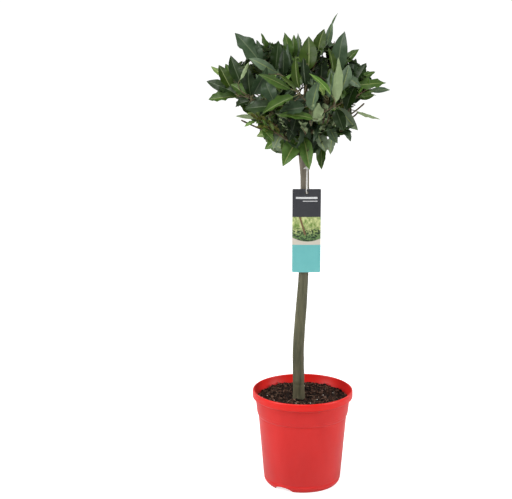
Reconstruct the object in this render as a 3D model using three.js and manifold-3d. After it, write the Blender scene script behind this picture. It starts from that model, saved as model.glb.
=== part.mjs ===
// A standard bay in its nursery pot: a clear stem, short boughs carrying a loose head of laurel
// foliage, potting soil, and a printed hang label on a string. Millimetres, +Z up. The origin is the
// centre of the pot's flat underside, and the label hangs on the front, towards -Y.
import * as THREE from "three";
import { mergeVertices } from "three/addons/utils/BufferGeometryUtils.js";
import Module from "manifold-3d";

const wasm = await Module();
wasm.setup();

// ---- driving dimensions ----

const GAP = 0.3; // clearance between solids that touch

const POT = {
  height: 203,
  wall: 2,
  padRadius: 44, // centre pad of the floor, which stands on the ground
  padSlope: 3.5,
  floorHeight: 7.5, // underside of the raised floor round the pad
  footRadius: 74,
  footHeight: 9,
  bodyRadius: 80.8, // where the foot's slope meets the tapered body
  shoulderRadius: 92.7,
  shoulderHeight: 149,
  collarFootRadius: 95.7,
  collarFootHeight: 158,
  collarTopRadius: 98.9,
  collarTopHeight: 184,
  bandRadius: 105,
  bandFootHeight: 187,
  lipWidth: 3.6,
  segments: 32,
};
const ARCH = { count: 3, turn: -33, width: 37, topWidth: 26, height: 6.9 }; // notches in the foot
const DRAIN = { count: 6, circle: 61, radius: 4, sides: 8 };

const SOIL = { level: 182, lump: 4, rings: 5, segments: 24 };

const STEM = {
  foot: 176, // flat cut, just under the crumbs of the soil
  fork: 748,
  footRadius: 13.2,
  flareHeight: 24,
  lowRadius: 12.2,
  highRadius: 9,
  forkRadius: 8.2,
  sides: 12,
  steps: 16,
};
// The stem's lean: how far its middle stands to the right (+X) and back (+Y) at each height.
const STEM_LINE = [
  [-8, 0, STEM.foot],
  [-8, 0, 200],
  [-9.5, -1, 290],
  [-4, -1, 380],
  [0.5, 0, 460],
  [2.5, 1, 560],
  [1.5, 1, 660],
  [0, 0, STEM.fork],
];

const BOUGH = { rootRadius: 4.6, tipRadius: 2.4, sides: 6, steps: 4, rise: 0.16, depth: 0.55 };

// Foliage masses, in three tiers. Each stands at an azimuth (degrees from +X towards +Y), a distance
// from the stem and a height, and has half sizes outwards, sideways and upwards. leaves is the height
// at which its bough leaves the stem, and tips are the ends of its furthest shoots.
const MASSES = {
  low_front: {
    azimuth: -84, distance: 46, height: 714, half: [34, 42, 38], leaves: 694,
    tips: [[-36, -52, 690], [-4, -60, 668], [42, -58, 674]],
  },
  low_left: {
    azimuth: 191, distance: 66, height: 770, half: [42, 48, 36], leaves: 692,
    tips: [[-98, -24, 780], [-66, -30, 738]],
  },
  low_right: {
    azimuth: -8, distance: 60, height: 758, half: [40, 46, 38], leaves: 698,
    tips: [[102, -16, 770], [78, -28, 732]],
  },
  low_back: {
    azimuth: 93, distance: 56, height: 750, half: [42, 52, 44], leaves: 700,
    tips: [[-34, 84, 722], [30, 88, 730], [-4, 60, 704]],
  },
  left: {
    azimuth: 182, distance: 128, height: 846, half: [58, 60, 42], leaves: 716,
    tips: [[-198, -8, 857], [-193, -20, 822], [-184, 12, 888]],
  },
  front_left: {
    azimuth: 238, distance: 118, height: 826, half: [58, 62, 50], leaves: 724,
    tips: [[-116, -136, 812], [-66, -164, 838], [-90, -128, 880], [-56, -116, 784]],
  },
  front_right: {
    azimuth: -68, distance: 116, height: 822, half: [58, 62, 52], leaves: 716,
    tips: [[20, -172, 826], [92, -144, 844], [58, -124, 776], [46, -146, 878]],
  },
  right: {
    azimuth: -5, distance: 114, height: 836, half: [48, 56, 36], leaves: 722,
    tips: [[169, -14, 836], [156, 10, 856], [124, -6, 884]],
  },
  back_right: {
    azimuth: 56, distance: 116, height: 828, half: [56, 60, 48], leaves: 716,
    tips: [[124, 112, 826], [70, 164, 838], [56, 124, 784], [88, 110, 868]],
  },
  back_left: {
    azimuth: 121, distance: 116, height: 828, half: [58, 62, 50], leaves: 724,
    tips: [[-128, 108, 834], [-62, 166, 824], [-74, 120, 786], [-84, 126, 870]],
  },
  top_left: {
    azimuth: 195, distance: 86, height: 902, half: [56, 54, 42], leaves: 740,
    tips: [[-138, -18, 948], [-147, -26, 913], [-84, -46, 938], [-60, 0, 936]],
  },
  top_front: {
    azimuth: -92, distance: 60, height: 898, half: [54, 54, 42], leaves: 743,
    tips: [[-32, -66, 944], [14, -58, 950], [-10, -122, 906]],
  },
  top_right: {
    azimuth: 2, distance: 64, height: 900, half: [44, 56, 44], leaves: 741,
    tips: [[66, -4, 986], [80, -12, 948], [104, 14, 912]],
  },
  top_back: {
    azimuth: 90, distance: 62, height: 894, half: [52, 56, 40], leaves: 744,
    tips: [[-30, 76, 932], [36, 66, 936], [4, 126, 900]],
  },
};
const LUMPS = { count: 12, height: 0.26, spread: 0.32, base: 0.87, detail: 3 };
const TIP_SPREAD = 0.26; // how broadly a mass swells under the end of a shoot, in its own radii

const LABEL = {
  width: 58,
  height: 174,
  thickness: 0.6,
  top: 632,
  middle: 5, // how far its centre line stands to the right of the pot's axis
  front: -14,
  holeRadius: 3.2,
  holeDrop: 8,
};
const STRING = { radius: 1.1, sides: 6, steps: 10, knotHeight: 676, knotRadius: 3.6 };

// ---- materials ----

function material(color, roughness) {
  return new THREE.MeshStandardMaterial({ color, roughness, metalness: 0 });
}
const red = material(0xd03632, 0.38);
const peat = material(0x2b1f19, 0.95);
const bark = material(0x5f5c45, 0.75);
const greens = [material(0x2f4a2b, 0.5), material(0x3b5a30, 0.5), material(0x29402a, 0.5)];
const card = material(0x3c8f8c, 0.5);
const cotton = material(0xe9e6e0, 0.85);

// ---- solids ----

// A closed geometry as a manifold solid, with its shared vertices merged.
function solid(geometry) {
  const bare = geometry.index ? geometry.toNonIndexed() : geometry.clone();
  bare.deleteAttribute("normal");
  bare.deleteAttribute("uv");
  const merged = mergeVertices(bare, 1e-4);
  const vertProperties = new Float32Array(merged.attributes.position.array);
  const triVerts = new Uint32Array(merged.index.array);
  return new wasm.Manifold(new wasm.Mesh({ numProp: 3, vertProperties, triVerts }));
}

// The largest piece of a manifold solid, which leaves out slivers that a cut has freed.
function mainPiece(body) {
  const pieces = body.decompose();
  return pieces.reduce((a, b) => (b.volume() > a.volume() ? b : a));
}

// A named mesh from a manifold solid.
function meshOf(name, body, look) {
  const { vertProperties, triVerts } = body.getMesh();
  const geometry = new THREE.BufferGeometry();
  geometry.setAttribute("position", new THREE.BufferAttribute(vertProperties, 3));
  geometry.setIndex(new THREE.BufferAttribute(triVerts, 1));
  geometry.computeVertexNormals();
  const mesh = new THREE.Mesh(geometry, look);
  mesh.name = name;
  return mesh;
}

// A profile of [radius, height] pairs turned round the Z axis.
function turned(profile, segments) {
  const points = profile.map(([r, z]) => new THREE.Vector2(r, z));
  return new THREE.LatheGeometry(points, segments).rotateX(Math.PI / 2);
}

// A round limb along a curve: a closed cylinder bent onto it, with its radius a function of t.
function limb(curve, radiusAt, sides, steps) {
  const geometry = new THREE.CylinderGeometry(1, 1, 1, sides, steps);
  const { normals, binormals } = curve.computeFrenetFrames(steps);
  const position = geometry.attributes.position;
  for (let i = 0; i < position.count; i++) {
    const t = THREE.MathUtils.clamp(position.getY(i) + 0.5, 0, 1);
    const k = Math.round(t * steps);
    const place = curve
      .getPointAt(t)
      .addScaledVector(binormals[k], position.getX(i) * radiusAt(t))
      .addScaledVector(normals[k], position.getZ(i) * radiusAt(t));
    position.setXYZ(i, place.x, place.y, place.z);
  }
  return geometry;
}

// ---- pot ----

const onGround = [0, 0];
const skirtInner = POT.footRadius - POT.wall;
const floorTop = POT.floorHeight + POT.wall;
const lipInner = POT.bandRadius - POT.lipWidth;

// The inner face from the middle of the floor up to the lip.
function potInside() {
  return [
    [0, POT.wall],
    [POT.padRadius - 1, POT.wall],
    [POT.padRadius + POT.padSlope - 1, floorTop],
    [POT.bodyRadius - POT.wall, floorTop],
    [POT.shoulderRadius - POT.wall, POT.shoulderHeight],
    [POT.collarFootRadius - POT.wall, POT.collarFootHeight],
    [POT.collarTopRadius - POT.wall, POT.collarTopHeight - 1],
    [lipInner - 1, POT.bandFootHeight + 3],
    [lipInner, POT.height - 2.5],
    [lipInner + 0.8, POT.height - 0.6],
  ];
}

function potOutside() {
  return [
    onGround,
    [POT.padRadius, 0],
    [POT.padRadius + POT.padSlope, POT.floorHeight],
    [POT.bodyRadius - POT.wall - 1.2, POT.floorHeight],
    [skirtInner, 0],
    [POT.footRadius, 0],
    [POT.bodyRadius, POT.footHeight],
    [POT.shoulderRadius, POT.shoulderHeight],
    [POT.collarFootRadius, POT.collarFootHeight],
    [POT.collarTopRadius, POT.collarTopHeight],
    [POT.bandRadius - 0.8, POT.bandFootHeight],
    [POT.bandRadius, POT.bandFootHeight + 1],
    [POT.bandRadius, POT.height - 2],
    [POT.bandRadius - 0.8, POT.height - 0.5],
    [POT.bandRadius - POT.lipWidth / 2, POT.height],
  ];
}

// A notch in the foot: a trapezium as wide as the arch, run outwards through the skirt.
function archCutter(turn) {
  const shape = new THREE.Shape();
  shape.moveTo(-ARCH.width / 2, -1);
  shape.lineTo(ARCH.width / 2, -1);
  shape.lineTo(ARCH.topWidth / 2, ARCH.height);
  shape.lineTo(-ARCH.topWidth / 2, ARCH.height);
  const depth = 30;
  return solid(
    new THREE.ExtrudeGeometry(shape, { depth, bevelEnabled: false })
      .rotateX(Math.PI / 2)
      .translate(0, -POT.footRadius + 12, 0)
      .rotateZ(THREE.MathUtils.degToRad(turn)),
  );
}

function drainCutter(turn) {
  return solid(
    new THREE.CylinderGeometry(DRAIN.radius, DRAIN.radius, 4 * POT.wall, DRAIN.sides)
      .rotateX(Math.PI / 2)
      .translate(DRAIN.circle, 0, POT.floorHeight + POT.wall / 2)
      .rotateZ(THREE.MathUtils.degToRad(turn)),
  );
}

function pot() {
  let body = solid(turned([...potOutside(), ...potInside().reverse()], POT.segments));
  for (let i = 0; i < ARCH.count; i++) {
    body = body.subtract(archCutter(ARCH.turn + (360 / ARCH.count) * i));
  }
  for (let i = 0; i < DRAIN.count; i++) {
    body = body.subtract(drainCutter((360 / DRAIN.count) * i));
  }
  return meshOf("pot", body, red);
}

// ---- stem ----

function stemSolid(grow) {
  const places = STEM_LINE.map(([x, y, z]) => new THREE.Vector3(x, y, z));
  const curve = new THREE.CatmullRomCurve3(places, false, "centripetal");
  const length = STEM.fork - STEM.foot;
  const radiusAt = (t) => {
    const height = t * length;
    const flare = Math.max(0, 1 - height / STEM.flareHeight) ** 2;
    const foot = (STEM.footRadius - STEM.lowRadius) * flare;
    const stretch = THREE.MathUtils.smoothstep(t, 0.12, 0.8);
    const slim = THREE.MathUtils.lerp(STEM.lowRadius, STEM.highRadius, stretch);
    const tip = (STEM.highRadius - STEM.forkRadius) * THREE.MathUtils.smoothstep(t, 0.85, 1);
    return slim + foot - tip + grow;
  };
  return solid(limb(curve, radiusAt, STEM.sides, STEM.steps));
}

// ---- boughs ----

function placeOf({ azimuth, distance, height }) {
  const turn = THREE.MathUtils.degToRad(azimuth);
  return new THREE.Vector3(Math.cos(turn) * distance, Math.sin(turn) * distance, height);
}

// A bough leaves the middle of the stem, rises, and bends out to end inside its mass.
function boughSolid(mass, grow) {
  const root = new THREE.Vector3(0, 0, mass.leaves);
  const heart = placeOf(mass);
  const inwards = root.clone().sub(heart).normalize();
  const tip = heart.addScaledVector(inwards, BOUGH.depth * Math.min(...mass.half) - grow);
  const bend = root.clone().lerp(tip, 0.5);
  bend.z += BOUGH.rise * Math.hypot(tip.x, tip.y);
  const curve = new THREE.QuadraticBezierCurve3(root, bend, tip);
  const radiusAt = (t) => THREE.MathUtils.lerp(BOUGH.rootRadius, BOUGH.tipRadius, t) + grow;
  return solid(limb(curve, radiusAt, BOUGH.sides, BOUGH.steps));
}

// ---- foliage masses ----

// Directions of a mass's lumps, drawn from its own seed.
function lumpDirections(seed) {
  THREE.MathUtils.seededRandom(seed);
  return Array.from({ length: LUMPS.count }, () => {
    const up = 2 * THREE.MathUtils.seededRandom() - 1;
    const turn = 2 * Math.PI * THREE.MathUtils.seededRandom();
    const flat = Math.sqrt(1 - up * up);
    return new THREE.Vector3(Math.cos(turn) * flat, Math.sin(turn) * flat, up);
  });
}

// How far a mass may reach along a direction before it meets the plane between it and a neighbour.
function roomTowards(direction, heart, mass, otherHeart, otherMass) {
  const apart = otherHeart.clone().sub(heart);
  const distance = apart.length();
  const along = direction.dot(apart.normalize());
  if (along <= 0) return Infinity;
  const size = Math.cbrt(mass.half.reduce((a, b) => a * b));
  const otherSize = Math.cbrt(otherMass.half.reduce((a, b) => a * b));
  return ((distance * size) / (size + otherSize) - GAP) / along;
}

// How far a mass reaches along a direction: an ellipsoid with lumps on it, held clear of the others.
function massReach(name, lumps, direction) {
  const mass = MASSES[name];
  const heart = placeOf(mass);
  const turn = THREE.MathUtils.degToRad(mass.azimuth);
  const local = direction.clone().applyAxisAngle(new THREE.Vector3(0, 0, 1), -turn);
  const [outwards, sideways, upwards] = mass.half;
  const round = 1 / Math.hypot(local.x / outwards, local.y / sideways, local.z / upwards);
  let swell = LUMPS.base;
  for (const lump of lumps) {
    const away = direction.distanceTo(lump) / LUMPS.spread;
    swell += LUMPS.height * Math.exp(-away * away);
  }
  let reach = round * swell;
  for (const tip of mass.tips) {
    const towards = new THREE.Vector3(...tip).sub(heart);
    const length = towards.length();
    const away = direction.distanceTo(towards.normalize()) / TIP_SPREAD;
    reach += Math.max(0, length - reach) * 0.7 * Math.exp(-away * away);
  }
  for (const [otherName, other] of Object.entries(MASSES)) {
    if (otherName === name) continue;
    reach = Math.min(reach, roomTowards(direction, heart, mass, placeOf(other), other));
  }
  return reach;
}

// Corner indices of a geometry by the direction they lie in, so that a corner moves as one.
function cornersNearest(position, direction) {
  const corner = new THREE.Vector3();
  const distances = Array.from({ length: position.count }, (_, i) =>
    corner.fromBufferAttribute(position, i).distanceTo(direction),
  );
  const least = Math.min(...distances);
  return distances.flatMap((distance, i) => (distance < least + 1e-4 ? [i] : []));
}

function massSolid(name, seed) {
  const heart = placeOf(MASSES[name]);
  const lumps = lumpDirections(seed);
  const geometry = new THREE.IcosahedronGeometry(1, LUMPS.detail);
  const position = geometry.attributes.position;
  const ends = MASSES[name].tips.map((tip) => {
    const end = new THREE.Vector3(...tip);
    return [cornersNearest(position, end.clone().sub(heart).normalize()), end];
  });
  const direction = new THREE.Vector3();
  for (let i = 0; i < position.count; i++) {
    direction.fromBufferAttribute(position, i).normalize();
    const place = direction.clone().multiplyScalar(massReach(name, lumps, direction)).add(heart);
    position.setXYZ(i, place.x, place.y, place.z);
  }
  for (const [corners, end] of ends) {
    for (const i of corners) position.setXYZ(i, end.x, end.y, end.z);
  }
  return solid(geometry);
}

// ---- soil ----

// Height of the crumbly surface above its level: broad swells with smaller lumps on them.
function lumpAt(x, y) {
  const swell = Math.sin(x / 23 + 1) * Math.cos(y / 19 - 0.5);
  const crumb = Math.sin(x / 8.5 - y / 11) * Math.sin(y / 9 + x / 31);
  return SOIL.lump * (0.7 * swell + 0.45 * crumb);
}

function soilSolid() {
  const inside = potInside().filter(([, z]) => z < SOIL.level);
  const side = inside.map(([r, z]) => [r === 0 ? 0 : r - 2 * GAP, z + GAP]);
  const edge = POT.collarTopRadius - POT.wall - 3 * GAP;
  const drop = POT.collarTopHeight - SOIL.level;
  const surface = [[edge - drop * 0.12, SOIL.level - SOIL.lump]];
  for (let ring = SOIL.rings - 1; ring >= 0; ring--) {
    surface.push([(edge * 0.96 * ring) / (SOIL.rings - 1), SOIL.level]);
  }
  const geometry = turned([...side, ...surface], SOIL.segments);
  const position = geometry.attributes.position;
  for (let i = 0; i < position.count; i++) {
    const [x, y, z] = [position.getX(i), position.getY(i), position.getZ(i)];
    if (z > SOIL.level - 1e-3) position.setZ(i, z + lumpAt(x, y));
  }
  return solid(geometry);
}

// ---- label and string ----

function labelSolid() {
  const shape = new THREE.Shape();
  shape.moveTo(-LABEL.width / 2, 0);
  shape.lineTo(LABEL.width / 2, 0);
  shape.lineTo(LABEL.width / 2, LABEL.height);
  shape.lineTo(-LABEL.width / 2, LABEL.height);
  const hole = new THREE.Path();
  hole.absarc(0, LABEL.height - LABEL.holeDrop, LABEL.holeRadius, 0, 2 * Math.PI);
  shape.holes.push(hole);
  return solid(
    new THREE.ExtrudeGeometry(shape, {
      depth: LABEL.thickness,
      bevelEnabled: false,
      curveSegments: 8,
    })
      .rotateX(Math.PI / 2)
      .translate(LABEL.middle, LABEL.front + LABEL.thickness, LABEL.top - LABEL.height),
  );
}

// The string comes forward through the label's hole, runs up to its knot, and on to the front bough.
function stringSolid(grow) {
  const hole = LABEL.top - LABEL.holeDrop;
  const line = [
    new THREE.Vector3(LABEL.middle, LABEL.front + 0.9, hole),
    new THREE.Vector3(LABEL.middle, LABEL.front - 1.4, hole + 0.3),
    new THREE.Vector3(LABEL.middle, LABEL.front - 2.6, hole + 6),
    new THREE.Vector3(LABEL.middle, LABEL.front - 2.6, STRING.knotHeight),
    new THREE.Vector3(LABEL.middle - 3, LABEL.front - 2.6, STRING.knotHeight + 12),
  ];
  const curve = new THREE.CatmullRomCurve3(line, false, "centripetal");
  const strand = solid(limb(curve, () => STRING.radius + grow, STRING.sides, STRING.steps));
  const knot = solid(
    new THREE.IcosahedronGeometry(STRING.knotRadius + grow, 1).translate(
      LABEL.middle,
      LABEL.front - 2.6,
      STRING.knotHeight,
    ),
  );
  return strand.add(knot);
}

// ---- assembly ----

const standard = new THREE.Group();
standard.add(pot());

const stem = stemSolid(0);
const stemRoom = stemSolid(GAP);
standard.add(meshOf("trunk", stem, bark));
standard.add(meshOf("soil", mainPiece(soilSolid().subtract(stemRoom)), peat));

const stringRoom = stringSolid(GAP);
const limbsRoom = [stemRoom, stringRoom];
for (const [name, mass] of Object.entries(MASSES)) {
  const body = limbsRoom.reduce((left, room) => left.subtract(room), boughSolid(mass, 0));
  standard.add(meshOf(`bough_${name}`, mainPiece(body), bark));
  limbsRoom.push(boughSolid(mass, GAP));
}

Object.keys(MASSES).forEach((name, i) => {
  const body = limbsRoom.reduce((left, room) => left.subtract(room), massSolid(name, i + 11));
  standard.add(meshOf(`foliage_${name}`, mainPiece(body), greens[i % greens.length]));
});

standard.add(meshOf("label", labelSolid(), card));
standard.add(meshOf("label_string", stringSolid(0), cotton));

export default standard;
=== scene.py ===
"""A standard bay in its nursery pot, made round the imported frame. Metres, +Z up, front towards -Y."""

import math
import random

import bmesh
import bpy
from mathutils import Matrix, Quaternion, Vector, geometry, noise
from mathutils.bvhtree import BVHTree


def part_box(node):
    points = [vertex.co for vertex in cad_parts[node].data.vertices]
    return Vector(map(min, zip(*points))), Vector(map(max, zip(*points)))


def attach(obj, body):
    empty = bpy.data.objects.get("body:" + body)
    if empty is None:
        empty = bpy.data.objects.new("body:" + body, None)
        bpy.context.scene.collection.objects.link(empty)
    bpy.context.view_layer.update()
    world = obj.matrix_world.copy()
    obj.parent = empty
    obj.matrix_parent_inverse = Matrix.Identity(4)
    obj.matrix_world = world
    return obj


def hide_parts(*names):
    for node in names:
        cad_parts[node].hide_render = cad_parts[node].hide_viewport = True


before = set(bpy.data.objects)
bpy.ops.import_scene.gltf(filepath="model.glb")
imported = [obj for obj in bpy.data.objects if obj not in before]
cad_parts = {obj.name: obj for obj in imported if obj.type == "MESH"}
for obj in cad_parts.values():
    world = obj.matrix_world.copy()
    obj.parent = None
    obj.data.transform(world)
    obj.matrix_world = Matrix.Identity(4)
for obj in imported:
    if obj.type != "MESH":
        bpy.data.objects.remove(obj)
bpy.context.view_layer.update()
MM = 0.001
UP = Vector((0, 0, 1))

# ---- The pot ----
# A thin-walled nursery pot, injection-moulded in red polypropylene and slightly soft in its gloss.
# A rolled band stiffens its mouth, a shoulder lets pots stack, and the foot has three notches and a
# ring of drain holes moulded in.

POT_OUTSIDE = [  # radius and height, from the middle of the pad outwards and up
    (0, 0), (44, 0), (47.5, 7.5), (77.4, 7.5), (72, 0), (74.2, 0), (76.7, 2.4), (79, 5.8),
    (80.6, 10), (81.1, 14.6), (80.8, 15.2), (81.3, 15.8), (92.3, 145.6), (92.4, 147), (92, 147.6),
    (92.8, 148.6), (94.2, 150.6), (95.2, 154.2), (95, 155), (95.6, 156), (95.9, 158), (98.6, 182.8),
    (98.4, 183.6), (99.6, 185.4), (103.6, 186.8), (104.8, 188), (105, 189.6), (105, 199.4),
    (104.5, 201.6), (103.4, 202.8), (102.4, 203),
]  # fmt: skip
POT_INSIDE = [  # from the lip down and inwards
    (101.6, 202.4), (101.2, 200.6), (100.3, 190), (97, 183), (93.9, 158.5), (90.9, 149.6),
    (79.6, 16), (78.6, 9.5), (46.5, 9.5), (43, 2), (0, 2),
]  # fmt: skip
POT_STEPS = 180


def lathe(profile, steps):
    """A profile of (radius, height) pairs in millimetres, turned all the way round."""
    bm = bmesh.new()
    points = [bm.verts.new((r * MM, 0, z * MM)) for r, z in profile]
    for a, b in zip(points, points[1:]):
        bm.edges.new((a, b))
    bmesh.ops.spin(
        bm,
        geom=bm.verts[:] + bm.edges[:],
        cent=(0, 0, 0),
        axis=UP,
        angle=2 * math.pi,
        steps=steps,
        use_merge=True,
    )
    bmesh.ops.remove_doubles(bm, verts=bm.verts, dist=1e-6)
    bmesh.ops.recalc_face_normals(bm, faces=bm.faces)
    return bm


def place(name, bm, finishes, sharp=math.radians(35)):
    """A finished piece from its bmesh: smooth but for its sharp edges, and riding on the plant."""
    mesh = bpy.data.meshes.new(name)
    bm.to_mesh(mesh)
    bm.free()
    mesh.shade_smooth()
    mesh.set_sharp_from_angle(angle=sharp)
    piece = bpy.data.objects.new(name, mesh)
    bpy.context.collection.objects.link(piece)
    for finish in finishes:
        mesh.materials.append(finish)
    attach(piece, "root")
    return piece


def cut_away(piece, shapes):
    """Takes closed shapes, given as a bmesh, out of a piece, and frees them."""
    mesh = bpy.data.meshes.new("shapes")
    shapes.to_mesh(mesh)
    shapes.free()
    cutter = bpy.data.objects.new("shapes", mesh)
    bpy.context.collection.objects.link(cutter)
    cut = piece.modifiers.new("cut", "BOOLEAN")
    cut.operation = "DIFFERENCE"
    cut.solver = "EXACT"
    cut.object = cutter
    whole = piece.evaluated_get(bpy.context.evaluated_depsgraph_get())
    cut_mesh = bpy.data.meshes.new_from_object(whole)
    piece.modifiers.clear()
    piece.data = cut_mesh
    bpy.data.objects.remove(cutter)


def add_node(tree, kind, inputs=(), **settings):
    """A shader node with those settings, and with sockets linked or values set by input."""
    node = tree.nodes.new(f"ShaderNode{kind}")
    for name, value in settings.items():
        setattr(node, name, value)
    for key, value in dict(inputs).items():
        if isinstance(value, bpy.types.NodeSocket):
            tree.links.new(value, node.inputs[key])
        else:
            node.inputs[key].default_value = value
    return node


def axes_of(tree):
    """The X, Y and Z of each place on the plant, in metres, as sockets."""
    where = add_node(tree, "TexCoord").outputs["Object"]
    return add_node(tree, "SeparateXYZ", {0: where}).outputs


def maths(tree, operation, a, b):
    """A maths node of that operation on two sockets or numbers, as its output socket."""
    return add_node(tree, "Math", {0: a, 1: b}, operation=operation).outputs[0]


def edged(tree, value, start, end, least=0):
    """A mask that goes from least to 1 as a value goes from start to end."""
    inputs = {"Value": value, "From Min": start, "From Max": end, "To Min": least}
    return add_node(tree, "MapRange", inputs).outputs[0]


def painted(tree, mask, under, over):
    """A colour laid over another where a mask is 1, as its output socket."""
    inputs = {"Factor": mask, "A": under, "B": over}
    return add_node(tree, "Mix", inputs, data_type="RGBA").outputs["Result"]


# Patches of two colours that run into each other, and the same patches as a height.
mottle = bpy.data.node_groups.new("mottle", "ShaderNodeTree")
for way, kind, names in (
    ("INPUT", "Color", ("Dark", "Light")),
    ("INPUT", "Vector", ("Stretch",)),
    ("INPUT", "Float", ("Detail", "Softness")),
    ("OUTPUT", "Color", ("Colour",)),
    ("OUTPUT", "Float", ("Height",)),
):
    for name in names:
        mottle.interface.new_socket(name, in_out=way, socket_type=f"NodeSocket{kind}")
given = mottle.nodes.new("NodeGroupInput").outputs
put_out = mottle.nodes.new("NodeGroupOutput").inputs
where = add_node(mottle, "TexCoord").outputs["Object"]
stretched = add_node(mottle, "VectorMath", {0: where, 1: given["Stretch"]}, operation="MULTIPLY")
cloud = {"Vector": stretched.outputs[0], "Scale": 1, "Detail": given["Detail"], "Roughness": 0.6}
patches = add_node(mottle, "TexNoise", cloud).outputs["Fac"]
low = maths(mottle, "SUBTRACT", 0.5, given["Softness"])
high = maths(mottle, "ADD", 0.5, given["Softness"])
spread = edged(mottle, patches, low, high)
mottle.links.new(painted(mottle, spread, given["Dark"], given["Light"]), put_out["Colour"])
mottle.links.new(spread, put_out["Height"])


def mottle_in(tree, dark, light, per_metre, detail, softness):
    """The mottle in a material's tree, as its outputs. per_metre is how many patches there are each
    way, or along X, Y and Z, and softness is how gently they run into each other."""
    stretch = per_metre if isinstance(per_metre, tuple) else (per_metre,) * 3
    inputs = {"Dark": (*dark, 1), "Light": (*light, 1), "Stretch": stretch}
    inputs |= {"Detail": detail, "Softness": softness}
    return add_node(tree, "Group", inputs, node_tree=mottle).outputs


def new_finish(name, roughness, specular):
    """A material, its node tree and its Principled shader."""
    made = bpy.data.materials.new(name)
    made.use_nodes = True
    shader = made.node_tree.nodes["Principled BSDF"]
    shader.inputs["Roughness"].default_value = roughness
    shader.inputs["Specular IOR Level"].default_value = specular
    return made, made.node_tree, shader


def mottled(
    name, dark, light, roughness, per_metre, detail=4, softness=0.16, relief=0.0, specular=0.5
):
    """A material of two mottled colours. relief is the height in metres that its patches have."""
    made, tree, shader = new_finish(name, roughness, specular)
    pattern = mottle_in(tree, dark, light, per_metre, detail, softness)
    tree.links.new(pattern["Colour"], shader.inputs["Base Color"])
    if relief:
        bump = add_node(tree, "Bump", {"Distance": relief, "Height": pattern["Height"]})
        tree.links.new(bump.outputs["Normal"], shader.inputs["Normal"])
    return made


def paint_over(made, mask, over):
    """Lays a colour over a material's own where a mask is 1."""
    colour = made.node_tree.nodes["Principled BSDF"].inputs["Base Color"]
    laid = painted(made.node_tree, mask, colour.links[0].from_socket, over)
    made.node_tree.links.new(laid, colour)


def pin(shapes, radius, depth, matrix, segments=32):
    """Adds a round pin along the matrix's Z, in metres."""
    bmesh.ops.create_cone(
        shapes,
        cap_ends=True,
        segments=segments,
        radius1=radius,
        radius2=radius,
        depth=depth,
        matrix=matrix,
    )


bm = lathe(POT_OUTSIDE + POT_INSIDE, POT_STEPS)
bmesh.ops.bevel(
    bm,
    geom=[e for e in bm.edges if e.calc_face_angle(0) > math.radians(40)],
    offset=0.45 * MM,
    segments=2,
    profile=0.5,
    affect="EDGES",
    material=-1,
)

# The notches and drain holes are cut by one set of pins: a flattened pin for each notch in the foot,
# and a round one for each hole.
NOTCHES = [-33, 87, 207]
DRAIN_HOLES = 6
cutters = bmesh.new()
for turn in NOTCHES:
    stand = Matrix.Rotation(math.radians(turn), 4, "Z") @ Matrix.Translation((0, -78 * MM, -0.6 * MM))
    flat = Matrix.Diagonal((1, 1, 0.47, 1)) @ Matrix.Rotation(math.radians(90), 4, "X")
    pin(cutters, 21 * MM, 24 * MM, stand @ flat, segments=48)
for hole in range(DRAIN_HOLES):
    turn = Matrix.Rotation(math.tau * hole / DRAIN_HOLES, 4, "Z")
    pin(cutters, 4 * MM, 6 * MM, turn @ Matrix.Translation((61 * MM, 0, 8.5 * MM)))

pot_red = mottled(
    "red_polypropylene",
    dark=(0.58, 0.010, 0.008),
    light=(0.65, 0.016, 0.013),
    roughness=0.38,
    per_metre=(26, 26, 9),
    softness=0.25,
    relief=0.00012,
    specular=0.36,
)
# Light comes through the thin wall where no soil backs it, so the red is purer there, and most of
# all where the lamps in front and behind shine straight through the mouth.
tree = pot_red.node_tree
_, y, z = axes_of(tree)
above_soil = edged(tree, z, 0.1855, 0.1885)
facing_lamps = edged(tree, maths(tree, "ABSOLUTE", y, 0), 0.025, 0.085, least=0.3)
paint_over(pot_red, maths(tree, "MULTIPLY", above_soil, facing_lamps), (0.69, 0.007, 0.002, 1))
pot = place("nursery_pot", bm, [pot_red], sharp=math.radians(50))
cut_away(pot, cutters)
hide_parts("pot")

# ---- The soil ----
# Moist peat potting mix, filled to about two fingers below the mouth. Its top is uneven, with
# crumbs, coarse brown fibres, a few chips of bark and white grains lying loose on it.

SOIL_LEVEL = 182
SOIL_STEPS = 180
RING_GAP = 1.4


def soil_height(x, y):
    """The soil's surface above its level at a place, in metres: mounds with crumbs on them."""
    mound = noise.noise(Vector((x * 22 + 3.1, y * 22 - 1.7, 0.4)))
    back_left = math.exp(-((x + 0.040) ** 2 + (y - 0.052) ** 2) / 0.0008)
    lump = noise.noise(Vector((x * 95, y * 95, 2.2)))
    crumb = noise.fractal(Vector((x * 260, y * 260, 7.5)), 0.9, 2.1, 4)
    return (1.2 + 26 * y + 2.0 * mound + 3.6 * back_left + 1.9 * lump + 1.2 * crumb) * MM


soil_side = [(0, 2.4), (42.6, 2.4), (46.2, 9.9), (78.2, 9.9), (79.2, 16.5), (90.5, 150), (93.4, 159)]
soil_top = [(95.7 - RING_GAP * ring, SOIL_LEVEL) for ring in range(68)]
bm = lathe([*soil_side, (95.5, 174), *soil_top, (0, SOIL_LEVEL)], SOIL_STEPS)
for v in bm.verts:
    if v.co.z > (SOIL_LEVEL - 1) * MM:
        v.co.z += soil_height(v.co.x, v.co.y)
peat = mottled(
    "peat",
    dark=(0.003, 0.0016, 0.0012),
    light=(0.036, 0.019, 0.013),
    roughness=0.95,
    per_metre=420,
    detail=8,
    softness=0.12,
    relief=0.0012,
    specular=0.15,
)
soil = place("soil_fill", bm, [peat], sharp=math.pi)
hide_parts("soil")


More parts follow.
